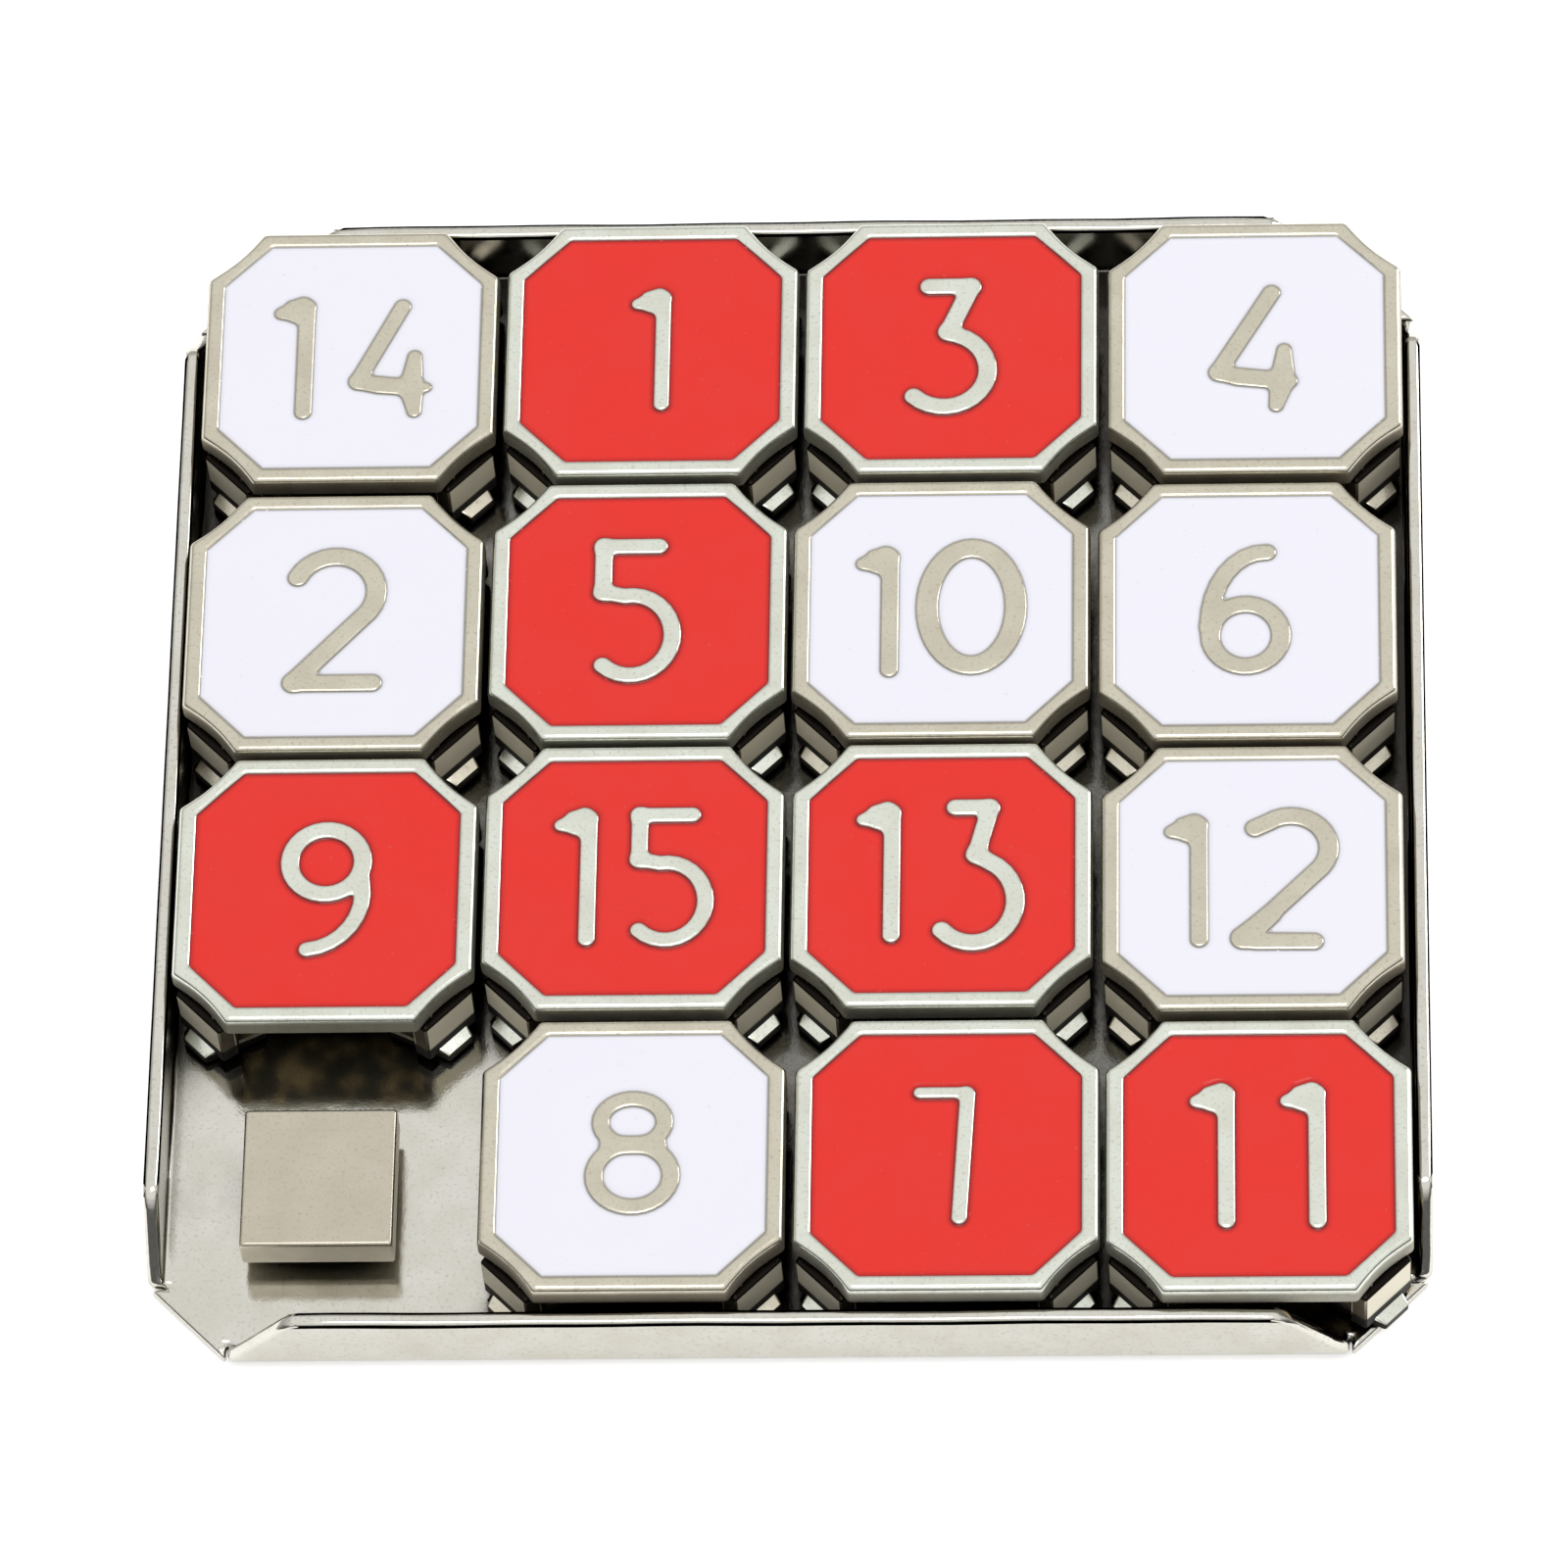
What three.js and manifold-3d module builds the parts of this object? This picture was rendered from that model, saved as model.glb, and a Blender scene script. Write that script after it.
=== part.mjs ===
// A fifteen-tile sliding puzzle in nickel-plated metal with red and white enamel.
// Units are millimetres. The origin is the middle of the tray's underside, +Z is up,
// and the player sits on the -Y side, so rows count from the back and columns from the left.
//
// The tray is one folded sheet. A T-shaped stud is riveted in the middle of each of its
// 16 cells, and every tile has four hooked feet that reach under the stud's cap. The
// feet leave a cross-shaped slot between them, so a tile can slide along a row or a
// column, from stud to stud, but can't be lifted off.

import * as THREE from 'three';
import { mergeVertices } from 'three/addons/utils/BufferGeometryUtils.js';
import Module from 'manifold-3d';

const wasm = await Module();
wasm.setup();

// ---- driving dimensions ---------------------------------------------------------

const cells = 4;                 // cells along each side
const pitch = 16;                // cell to cell

const trayHalf = 32.9;           // centre to the walls' outer faces
const trayChamfer = 4.3;         // cut across each corner of the floor
const sheet = 0.8;               // thickness of the tray's sheet
const wallTop = 4.8;             // height of the walls' top edges
const wallTopHalf = 25.3;        // half length of a wall at its top edge
const bendRadius = 1.0;          // outer radius of the fold under each wall
const wallLip = 0.15;            // chamfer on the walls' top edges

const tileHalf = 7.8;            // centre to a tile's sides
const tileChamfer = 2.9;         // cut across each corner of a tile
const tileTop = 6.0;             // height of the tiles' top faces
const plateThickness = 1.4;      // thickness of a tile's top plate
const rimBevel = 0.3;            // chamfer round a tile's top edge
const rimWidth = 0.9;            // bare metal border round the enamel
const fieldChamfer = 2.46;       // cut across each corner of the enamelled field
const fieldDepth = 0.5;          // depth of the enamelled field
const enamelDrop = 0.08;         // enamel surface below the rim
const enamelGap = 0.04;          // between enamel and metal

const capHalf = 3.925;           // half width of a stud's square cap
const capTop = 4.0;              // height of a stud's cap
const capUnder = 1.95;           // height of the cap's underside
const capCorner = 0.35;          // cut across each corner of the cap
const capBevel = 0.2;            // chamfer round the cap's top edge
const stemHalf = 2.7;            // half width of the square stem
const rivetRadius = 1.5;         // stub of the stem that passes through the floor
const rivetHole = 1.6;           // hole for it in the floor
const rivetRecess = 0.1;         // the stub ends this far above the tray's underside

const footLift = 0.1;            // running clearance between feet and floor
const footThickness = 0.85;
const slotHalf = 3.25;           // half width of the slot between the feet
const slotLead = 2.85;           // how far the slot's straight sides run from its crossing
const footHalf = 7.55;           // a tile's centre to its feet's outermost points
const footChamfer = 1.2;         // cut across each foot's outer corner
const legInner = 4.6;            // legs stand outside the caps, at this distance from the centre
const legOuter = 7.2;
const legChamfer = 2.2;          // cut across each leg's outer corner

const numeralHeight = 8;         // height of the numerals as drawn below, scaled per tile
const numeralStroke = 1;         // width of their strokes at that height
const arcStep = THREE.MathUtils.degToRad(30);
const overlap = 0.3;             // how far joined shapes reach into each other
const sliver = 0.01;             // edges shorter than this are closed up

// ---- materials ------------------------------------------------------------------

const nickel = { color: 0xcfcabd, roughness: 0.2, metalness: 1 };
const satinNickel = { color: 0xc9c1ae, roughness: 0.38, metalness: 1 };
const redEnamel = { color: 0xee3a33, roughness: 0.25, metalness: 0 };
const whiteEnamel = { color: 0xf4f3fb, roughness: 0.25, metalness: 0 };

// ---- solids ---------------------------------------------------------------------

// A closed geometry as a solid that can be joined and cut.
function solid(geometry) {
  const bare = geometry.index ? geometry.toNonIndexed() : geometry.clone();
  bare.deleteAttribute('normal');
  bare.deleteAttribute('uv');
  const merged = mergeVertices(bare, 1e-4);
  return new wasm.Manifold(new wasm.Mesh({
    numProp: 3,
    vertProperties: new Float32Array(merged.attributes.position.array),
    triVerts: new Uint32Array(merged.index.array),
  }));
}

function join(solids) {
  return solids.reduce((whole, piece) => whole.add(piece));
}

function cut(body, tools) {
  return tools.reduce((rest, tool) => rest.subtract(tool), body);
}

// A flat shape raised from one height to another.
function prism(shape, bottom, top) {
  const geometry = new THREE.ExtrudeGeometry(shape, { depth: top - bottom, bevelEnabled: false });
  geometry.translate(0, 0, bottom);
  return solid(geometry);
}

// A convex prism with a chamfer round its top edge.
function bevelledPrism(shape, bottom, top, bevel) {
  const outline = shape.getPoints();
  const rings = [[outline, bottom], [outline, top - bevel], [inset(outline, bevel), top]];
  const points = rings.flatMap(([ring, z]) => ring.map((p) => new THREE.Vector3(p.x, p.y, z)));
  const count = outline.length;
  const lid = count * (rings.length - 1);
  const indices = [];
  for (let start = 0; start < lid; start += count) {
    for (let i = 0; i < count; i += 1) {
      const here = start + i;
      const next = start + (i + 1) % count;
      indices.push(here, next, next + count, here, next + count, here + count);
    }
  }
  for (let i = 1; i < count - 1; i += 1) {
    indices.push(0, i + 1, i);
    indices.push(lid, lid + i, lid + i + 1);
  }
  const geometry = new THREE.BufferGeometry().setFromPoints(points);
  geometry.setIndex(indices);
  return solid(geometry);
}

// A convex outline, counter-clockwise, moved inwards by a distance.
function inset(points, distance) {
  return points.map((p, i) => {
    const before = points[(i + points.length - 1) % points.length];
    const after = points[(i + 1) % points.length];
    const a = p.clone().sub(before).normalize();
    const b = after.clone().sub(p).normalize();
    const normalA = new THREE.Vector2(-a.y, a.x);
    const normalB = new THREE.Vector2(-b.y, b.x);
    const middle = normalA.add(normalB);
    const reach = distance * 2 / middle.lengthSq();
    return p.clone().addScaledVector(middle, reach);
  });
}

// A named mesh of a solid, without the slivers that joining leaves.
function part(name, body, finish) {
  const { vertProperties, triVerts } = body.asOriginal().simplify(sliver).getMesh();
  const geometry = new THREE.BufferGeometry();
  geometry.setAttribute('position', new THREE.BufferAttribute(new Float32Array(vertProperties), 3));
  geometry.setIndex(new THREE.BufferAttribute(new Uint32Array(triVerts), 1));
  const mesh = new THREE.Mesh(geometry, new THREE.MeshStandardMaterial(finish));
  mesh.name = name;
  return mesh;
}

// ---- outlines -------------------------------------------------------------------

function polygon(points) {
  return new THREE.Shape(points.map(([x, y]) => new THREE.Vector2(x, y)));
}

// A square with its corners cut off.
function cutSquare(half, chamfer) {
  const flat = half - chamfer;
  return polygon([
    [flat, -half], [half, -flat], [half, flat], [flat, half],
    [-flat, half], [-half, flat], [-half, -flat], [-flat, -half],
  ]);
}

// Points along an ellipse, from one angle to another in degrees.
function arc(cx, cy, rx, ry, from, to) {
  const start = THREE.MathUtils.degToRad(from);
  const sweep = THREE.MathUtils.degToRad(to - from);
  const steps = Math.max(2, Math.round(Math.abs(sweep) / arcStep));
  return Array.from({ length: steps + 1 }, (_, i) => {
    const angle = start + sweep * i / steps;
    return new THREE.Vector2(cx + rx * Math.cos(angle), cy + ry * Math.sin(angle));
  });
}

// The direction square to a line of points at one of them, long enough to mitre a corner.
function mitre(points, i) {
  const before = points[Math.max(i - 1, 0)];
  const after = points[Math.min(i + 1, points.length - 1)];
  const into = points[i].clone().sub(before).normalize();
  const out = after.clone().sub(points[i]).normalize();
  const square = (v) => new THREE.Vector2(-v.y, v.x);
  if (i === 0) return square(out);
  if (i === points.length - 1) return square(into);
  const middle = square(into).add(square(out));
  return middle.multiplyScalar(2 / middle.lengthSq());
}

// The outline of a stroke of even width along a line of points, with rounded ends.
function strokeOutline(points, width) {
  const half = width / 2;
  const side = (sign) => points.map((p, i) => p.clone().addScaledVector(mitre(points, i), sign * half));
  const roundEnd = (end, from) => {
    const start = Math.atan2(from.y - end.y, from.x - end.x);
    return [1, 2, 3].map((k) => {
      const angle = start + k * Math.PI / 4;
      return new THREE.Vector2(end.x + half * Math.cos(angle), end.y + half * Math.sin(angle));
    });
  };
  const right = side(-1);
  const left = side(1).reverse();
  const last = points.length - 1;
  return new THREE.Shape([
    ...right, ...roundEnd(points[last], right[last]),
    ...left, ...roundEnd(points[0], left[last]),
  ]);
}

// ---- numerals -------------------------------------------------------------------

const line = (...points) => points.map(([x, y]) => new THREE.Vector2(x, y));

// Each numeral is a set of strokes along centre lines, with closed loops kept apart, because
// a loop has an island of enamel inside it. Numerals that share a tile with another are cut a
// little differently.
const numerals = {
  '0': { strokes: [], loops: [[0, 0, 2.3, 3.5]] },
  '1': {
    strokes: [
      line([0, 3.35], [0, -3.5]),
      line([-1.25, 2.95], [-0.8, 3.25], [-0.2, 3.5]),
      line([-1.25, 2.9], [0, 2.5]),
    ],
    loops: [],
  },
  '2': {
    strokes: [[...arc(0, 1.55, 2, 1.96, 155, -35), ...line([-1.85, -3.4])], line([-1.8, -3.5], [1.95, -3.5])],
    loops: [],
  },
  'wide 2': {
    strokes: [
      [...line([-1.42, 2.85]), ...arc(0.35, 1.72, 1.87, 1.8, 125, -38), ...line([-2.05, -3.35])],
      line([-2.1, -3.4], [1.45, -3.5]),
    ],
    loops: [],
  },
  '3': {
    strokes: [line([-1.13, 3.5], [0.96, 3.5]), line([0.96, 3.5], [-0.15, 0.85]),
      [...line([-0.15, 0.85]), ...arc(-0.33, -1.4, 2.17, 2.14, 60, -135)]],
    loops: [],
  },
  'narrow 3': {
    strokes: [line([-1.07, 3.5], [0.5, 3.5]), line([0.5, 3.5], [-0.1, 1.05]),
      [...line([-0.1, 1.05]), ...arc(-0.25, -1.38, 1.97, 2.2, 55, -136)]],
    loops: [],
  },
  '4': {
    strokes: [line([0.94, 3.5], [-1.95, -1.5]), line([-1.95, -1.6], [2, -2.1]),
      line([1.6, -0.1], [1.2, -3.5])],
    loops: [],
  },
  'upright 4': {
    strokes: [line([0.54, 3.5], [-1.9, -1.5]), line([-1.9, -1.6], [2.1, -2]),
      line([1.3, 0.1], [1.4, -3.5])],
    loops: [],
  },
  '5': {
    strokes: [line([0.97, 3.54], [-1.66, 3.54]), line([-1.66, 3.54], [-1.66, 1.02]),
      [...line([-1.66, 1.02]), ...arc(-0.28, -1.36, 1.98, 2.19, 100, -132)]],
    loops: [],
  },
  '6': { strokes: [arc(1.08, -1, 2.95, 4.4, 88, 180)], loops: [[0.05, -1.6, 1.86, 1.9]] },
  '7': { strokes: [line([-1.25, 3.6], [1.15, 3.6]), line([1.15, 3.6], [0.82, -3.55])], loops: [] },
  '8': { strokes: [], loops: [[-0.1, 2, 1.84, 1.5], [-0.05, -1.46, 2.22, 2]] },
  '9': { strokes: [arc(-1.1, -0.3, 3.04, 3.25, 12, -85)], loops: [[0, 1.6, 1.9, 1.9]] },
};

// The tiles: each one's cell, how far it lies from the cell's centre, its enamel, and its
// numerals: which, where from the tile's middle, and how tall. The tiles are loose, and the two
// above the blank have crept towards it.
const tiles = [
  { number: 14, row: 0, column: 0, lie: [0.1, 0], enamel: 'white',
    cut: [['1', -2.42, -0.06, 7.6], ['upright 4', 2.19, -0.14, 7.35]] },
  { number: 1, row: 0, column: 1, lie: [0.12, 0.22], enamel: 'red',
    cut: [['1', 0.6, 0.02, 7.7]] },
  { number: 3, row: 0, column: 2, lie: [0.07, 0.17], enamel: 'red',
    cut: [['3', 0, 0.04, 8.45]] },
  { number: 4, row: 0, column: 3, lie: [0.14, -0.06], enamel: 'white',
    cut: [['4', 0, -0.09, 7.85]] },
  { number: 2, row: 1, column: 0, lie: [-0.2, -0.32], enamel: 'white',
    cut: [['2', 0, 0.13, 8.75]] },
  { number: 5, row: 1, column: 1, lie: [-0.2, 0.2], enamel: 'red',
    cut: [['5', -0.06, 0, 8.8]] },
  { number: 10, row: 1, column: 2, lie: [-0.34, 0.14], enamel: 'white',
    cut: [['1', -2.68, -0.17, 7.9], ['0', 1.59, 0.07, 8.2]] },
  { number: 6, row: 1, column: 3, lie: [-0.34, -0.14], enamel: 'white',
    cut: [['6', -0.13, 0.05, 7.95]] },
  { number: 9, row: 2, column: 0, lie: [-0.06, -0.27], enamel: 'red',
    cut: [['9', 0, 0, 8]] },
  { number: 15, row: 2, column: 1, lie: [-0.11, 0.28], enamel: 'red',
    cut: [['1', -2.35, 0.05, 8.25], ['5', 2, -0.03, 8.3]] },
  { number: 13, row: 2, column: 2, lie: [-0.18, 0.28], enamel: 'red',
    cut: [['1', -2.57, 0.16, 8.4], ['narrow 3', 1.9, -0.03, 8.95]] },
  { number: 12, row: 2, column: 3, lie: [-0.15, -0.05], enamel: 'white',
    cut: [['1', -2.75, -0.18, 7.8], ['wide 2', 1.63, -0.12, 8.35]] },
  { number: 8, row: 3, column: 1, lie: [0.19, 0.14], enamel: 'white',
    cut: [['8', 0.08, 0.1, 7.1]] },
  { number: 7, row: 3, column: 2, lie: [0.21, 0.05], enamel: 'red',
    cut: [['7', -0.14, -0.08, 7.95]] },
  { number: 11, row: 3, column: 3, lie: [0.08, -0.12], enamel: 'red',
    cut: [['1', -1.65, -0.03, 8.4], ['1', 2.96, -0.05, 8.45]] },
];

// The strokes and loops of a tile's numerals at their real size and place, with their widths.
function numeralsOf(tile) {
  const strokes = [];
  const loops = [];
  for (const [which, right, up, height] of tile.cut) {
    const scale = height / numeralHeight;
    const width = numeralStroke * scale;
    for (const points of numerals[which].strokes) {
      strokes.push({ points: points.map((p) => new THREE.Vector2(p.x * scale + right, p.y * scale + up)), width });
    }
    for (const [cx, cy, rx, ry] of numerals[which].loops) {
      loops.push({ ring: [cx * scale + right, cy * scale + up, rx * scale, ry * scale], width });
    }
  }
  return { strokes, loops };
}

function ellipse([cx, cy, rx, ry], grow) {
  return new THREE.Shape(arc(cx, cy, rx + grow, ry + grow, 0, 360).slice(0, -1));
}

// ---- tray and studs -------------------------------------------------------------

function cellPlace(row, column) {
  const middle = (cells - 1) / 2;
  return [(column - middle) * pitch, (middle - row) * pitch];
}

function allCells() {
  const list = [];
  for (let row = 0; row < cells; row += 1) {
    for (let column = 0; column < cells; column += 1) {
      list.push({ row, column });
    }
  }
  return list;
}

// The floor reaches the fold line at each wall, and the full width between the walls' ends.
function trayFloor() {
  const fold = trayHalf - bendRadius;
  const end = trayHalf - trayChamfer;
  const corner = [[end, -fold], [end, -trayHalf], [trayHalf, -end], [fold, -end]];
  const turned = (quarter) => corner.map(([x, y]) => {
    const p = new THREE.Vector2(x, y).rotateAround(new THREE.Vector2(), quarter * Math.PI / 2);
    return [p.x, p.y];
  });
  const shape = polygon([0, 1, 2, 3].flatMap(turned));
  for (const { row, column } of allCells()) {
    const [x, y] = cellPlace(row, column);
    shape.holes.push(new THREE.Path(circlePoints(x, y, rivetHole)));
  }
  return prism(shape, 0, sheet);
}

function circlePoints(x, y, radius) {
  return arc(x, y, radius, radius, 0, 360).slice(0, -1);
}

// One wall on the front side: the folded profile along its length, with both ends sloped.
function frontWall() {
  const fold = trayHalf - bendRadius;
  const inner = trayHalf - sheet;
  const end = trayHalf - trayChamfer;
  const profile = [
    [fold - overlap, 0],
    ...arc(fold, bendRadius, bendRadius, bendRadius, -90, 0).map((p) => [p.x, p.y]),
    [trayHalf, wallTop - wallLip], [trayHalf - wallLip, wallTop],
    [inner + wallLip, wallTop], [inner, wallTop - wallLip],
    ...arc(fold, bendRadius, bendRadius - sheet, bendRadius - sheet, 0, -90).map((p) => [p.x, p.y]),
    [fold - overlap, sheet],
  ];
  const length = new THREE.ExtrudeGeometry(polygon(profile), { depth: 2 * end, bevelEnabled: false });
  // Profile x runs outwards (-Y), profile y runs up, and the length runs along X.
  const outwards = new THREE.Vector3(0, -1, 0);
  const up = new THREE.Vector3(0, 0, 1);
  const along = outwards.clone().cross(up);
  length.translate(0, 0, -end);
  length.applyMatrix4(new THREE.Matrix4().makeBasis(outwards, up, along));

  const slope = (end - wallTopHalf) / (wallTop - sheet);
  const above = wallTop + overlap;
  const beyond = end + overlap;
  const innermost = inner - overlap;
  const outermost = trayHalf + overlap;
  const wedge = (side) => {
    const points = [
      [end, sheet], [beyond, sheet], [beyond, above], [end - (above - sheet) * slope, above],
    ];
    const flat = polygon(side > 0 ? points : points.map(([x, z]) => [-x, z]).reverse());
    const geometry = new THREE.ExtrudeGeometry(flat, { depth: outermost - innermost, bevelEnabled: false });
    geometry.rotateX(Math.PI / 2);
    geometry.translate(0, -innermost, 0);
    return solid(geometry);
  };
  return cut(solid(length), [wedge(1), wedge(-1)]);
}

function tray() {
  const wall = frontWall();
  const walls = [0, 90, 180, 270].map((degrees) => wall.rotate([0, 0, degrees]));
  return join([trayFloor(), ...walls]);
}

function stud() {
  const cap = bevelledPrism(cutSquare(capHalf, capCorner), capUnder, capTop, capBevel);
  const stem = prism(cutSquare(stemHalf, capCorner), sheet, capUnder + overlap);
  const rivet = prism(new THREE.Shape(circlePoints(0, 0, rivetRadius)), rivetRecess, sheet + overlap);
  return join([cap, stem, rivet]);
}

// ---- tiles ----------------------------------------------------------------------

// A foot hooks under the stud's cap. Its inner corner bounds the crossing of the two slots,
// and the slots' mouths flare out towards the tile's sides.
function foot() {
  const straight = slotHalf + slotLead;
  const flat = footHalf - footChamfer;
  const floor = sheet + footLift;
  const shape = polygon([
    [slotHalf, slotHalf], [straight, slotHalf], [footHalf, flat],
    [flat, footHalf], [slotHalf, straight],
  ]);
  return prism(shape, floor, floor + footThickness);
}

function leg() {
  const flat = tileHalf - legChamfer;
  const shape = polygon([
    [legInner, legInner], [legOuter, legInner], [tileHalf, flat], [flat, tileHalf], [legInner, legOuter],
  ]);
  const floor = sheet + footLift;
  return prism(shape, floor + footThickness / 2, tileTop - plateThickness + overlap);
}

function legs() {
  const hook = foot().add(leg());
  return join([0, 90, 180, 270].map((degrees) => hook.rotate([0, 0, degrees])));
}

function casting(tile) {
  const { strokes, loops } = numeralsOf(tile);
  const field = tileTop - fieldDepth;
  const plate = bevelledPrism(cutSquare(tileHalf, tileChamfer), tileTop - plateThickness, tileTop, rimBevel);
  const recess = prism(cutSquare(tileHalf - rimWidth, fieldChamfer), field, tileTop + overlap);
  const raised = strokes.map(({ points, width }) => prism(strokeOutline(points, width), field - overlap, tileTop));
  const rings = loops.map(({ ring, width }) => {
    const disc = prism(ellipse(ring, width / 2), field - overlap, tileTop);
    return disc.subtract(prism(ellipse(ring, -width / 2), field, tileTop + overlap));
  });
  return join([plate.subtract(recess), ...raised, ...rings, legs()]);
}

// The enamel round the numerals, and the islands of it inside the numerals' loops.
function enamel(tile) {
  const { strokes, loops } = numeralsOf(tile);
  const low = tileTop - fieldDepth + enamelGap;
  const high = tileTop - enamelDrop;
  const span = [low - overlap, high + overlap];
  const sheetOfEnamel = prism(cutSquare(tileHalf - rimWidth - enamelGap, fieldChamfer), low, high);
  const cutters = strokes.map(({ points, width }) => prism(strokeOutline(points, width + 2 * enamelGap), ...span));
  const discs = loops.map(({ ring, width }) => prism(ellipse(ring, width / 2 + enamelGap), ...span));
  return {
    field: cut(sheetOfEnamel, [...cutters, ...discs]),
    islands: loops.map(({ ring, width }) => cut(prism(ellipse(ring, -width / 2 - enamelGap), low, high), cutters)),
  };
}

// ---- the puzzle -----------------------------------------------------------------

const puzzle = new THREE.Group();
puzzle.add(part('tray', tray(), satinNickel));

const studBody = stud();
for (const { row, column } of allCells()) {
  const mesh = part(`stud_row${row + 1}_column${column + 1}`, studBody, satinNickel);
  const [x, y] = cellPlace(row, column);
  mesh.position.set(x, y, 0);
  puzzle.add(mesh);
}

for (const tile of tiles) {
  const group = new THREE.Group();
  const [x, y] = cellPlace(tile.row, tile.column);
  group.position.set(x + tile.lie[0], y + tile.lie[1], 0);
  group.add(part(`tile_${tile.number}`, casting(tile), nickel));

  const finish = tile.enamel === 'red' ? redEnamel : whiteEnamel;
  const { field, islands } = enamel(tile);
  group.add(part(`enamel_${tile.number}`, field, finish));
  islands.forEach((island, i) => {
    const name = islands.length > 1 ? `enamel_${tile.number}_island_${i + 1}` : `enamel_${tile.number}_island`;
    group.add(part(name, island, finish));
  });
  puzzle.add(group);
}

export default puzzle;
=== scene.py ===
"""A fifteen-tile sliding puzzle in nickel-plated metal with red and white enamel.

The frame gives where every piece is and how big it is. Shapes are worked out in millimetres
and become metres when their mesh is made. +Z is up and the player sits on the -Y side.
"""

from math import atan2, cos, pi, radians, sin, sqrt, tan

import bpy
import numpy as np
from mathutils import Matrix, Vector
from mathutils.geometry import delaunay_2d_cdt


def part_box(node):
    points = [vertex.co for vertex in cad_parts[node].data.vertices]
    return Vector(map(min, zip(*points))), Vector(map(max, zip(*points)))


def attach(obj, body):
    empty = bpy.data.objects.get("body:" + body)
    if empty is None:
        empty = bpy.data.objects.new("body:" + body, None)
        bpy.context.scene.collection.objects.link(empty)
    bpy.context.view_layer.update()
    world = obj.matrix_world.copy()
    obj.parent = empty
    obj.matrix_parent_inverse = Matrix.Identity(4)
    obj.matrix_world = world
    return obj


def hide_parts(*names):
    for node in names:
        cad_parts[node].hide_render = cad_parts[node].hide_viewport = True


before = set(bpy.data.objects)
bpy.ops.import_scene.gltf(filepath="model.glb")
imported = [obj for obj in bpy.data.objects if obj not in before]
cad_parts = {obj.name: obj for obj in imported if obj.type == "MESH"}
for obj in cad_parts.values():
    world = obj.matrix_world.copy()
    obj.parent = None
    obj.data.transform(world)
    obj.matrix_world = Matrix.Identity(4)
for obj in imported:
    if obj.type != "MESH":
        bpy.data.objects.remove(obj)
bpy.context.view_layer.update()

MM = 0.001

# ---- sizes, in millimetres ------------------------------------------------------


def box(node):
    """A CAD node's lowest and highest corners."""
    low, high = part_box(node)
    return low / MM, high / MM


def half_width(node):
    low, high = box(node)
    return (high.x - low.x) / 2


def centre(node):
    """The middle of a CAD node's box, seen from above."""
    low, high = box(node)
    return (low.x + high.x) / 2, (low.y + high.y) / 2


CELLS = range(1, 5)
STUDS = [f"stud_row{row}_column{column}" for row in CELLS for column in CELLS]

TILE_HALF = half_width("tile_1")
TILE_TOP = box("tile_1")[1].z
FOOT_BOTTOM = box("tile_1")[0].z
PLATE_THICKNESS = 1.4            # a tile's top plate
TILE_CHAMFER = 2.9               # cut across each corner of a tile
CHAMFER_HOLLOW = 0.2             # the cuts are slightly hollow
VERTEX_ROUND = 0.35              # radius of the outline's vertices
RIM_WIDTH = 0.9                  # bare metal border round the enamel
FIELD_CHAMFER = 2.46             # cut across each corner of the enamelled field
FIELD_ROUND = 0.4
FIELD_DEPTH = 0.5                # depth of the recess that holds the enamel

FOOT_THICKNESS = 0.85
SLOT_HALF = 3.25                 # half width of the slot between the feet
SLOT_LEAD = 2.85                 # straight part of the slot's sides
FOOT_HALF = 7.55                 # a tile's centre to its feet's outermost points
FOOT_CHAMFER = 1.2
FOOT_LEAN = 0.19                 # share of a foot's sides that its sloping top takes up
FOOT_DROP = 0.17                 # how far that slope falls
FOOT_EDGE = 0.06                 # height of the softened edge under the slope
FOOT_EDGE_BACK = (0.04, 0.1)     # how far the slope's lower and upper ends stand back
LEG_CHAMFER = 2.45               # cut across each corner of a tile at its legs
LEG_INNER = 4.6                  # a tile's centre to its legs' inner faces
LEG_OUTER = 7.2                  # and to where those faces end
LEG_SETBACK = 0.1                # the legs' sides inside the plate's
# A leg's top, as how far its sides stand back and heights from the plate's underside.
LEG_SHOULDER = [(0, -0.12), (0.04, -0.04), (0.12, 0), (0.8, 0.02)]
LEG_NECK = 0.85                  # how far the neck's sides stand back
CAST_EDGE = 0.16                 # softness of the cast edges

CAP_HALF = half_width(STUDS[0])
CAP_TOP = box(STUDS[0])[1].z
RIVET_BOTTOM = box(STUDS[0])[0].z
CAP_UNDER = 1.95                 # height of the cap's underside
CAP_CORNER = 0.16                # rounding of its corners, seen from above
CAP_EDGE = 0.22                  # rounding of the cap's edges
STEM_HALF = 2.7
NEARLY = 0.999                   # a circle is a square rounded by this share of its half width
RIVET_RADIUS = 1.5
RIVET_HOLE = 1.6                 # radius of the hole for it in the floor

TRAY_HALF = half_width("tray")
WALL_TOP = box("tray")[1].z
SHEET = 0.8
BEND_RADIUS = 1.0                # outer radius of the fold under each wall
TRAY_CHAMFER = 4.3               # cut across each corner of the floor
WALL_TOP_HALF = 25.3             # half length of a wall at its top edge
RELIEF = 0.12                    # slit between a wall's end and the floor's corner
EDGE_ROUND = 0.3                 # rounding of the sheet's edges
WALL_DIP = 0.12                  # how far a wall's top dips along its length
WALL_COLUMNS = 24                # divisions along a wall
WALL_ROWS = [0.2, 0.5, 0.8, 0.93, 0.98, 1.0]    # and up it, as shares of its straight part
WALL_CORNER_ROUND = 0.5          # rounding of a wall's top corners

NUMERAL_HEIGHT = 8.0             # height of the numerals as drawn below, scaled per tile
OVERLAP = 0.3                    # how far joined shapes reach into each other

# ---- outlines -------------------------------------------------------------------


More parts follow.
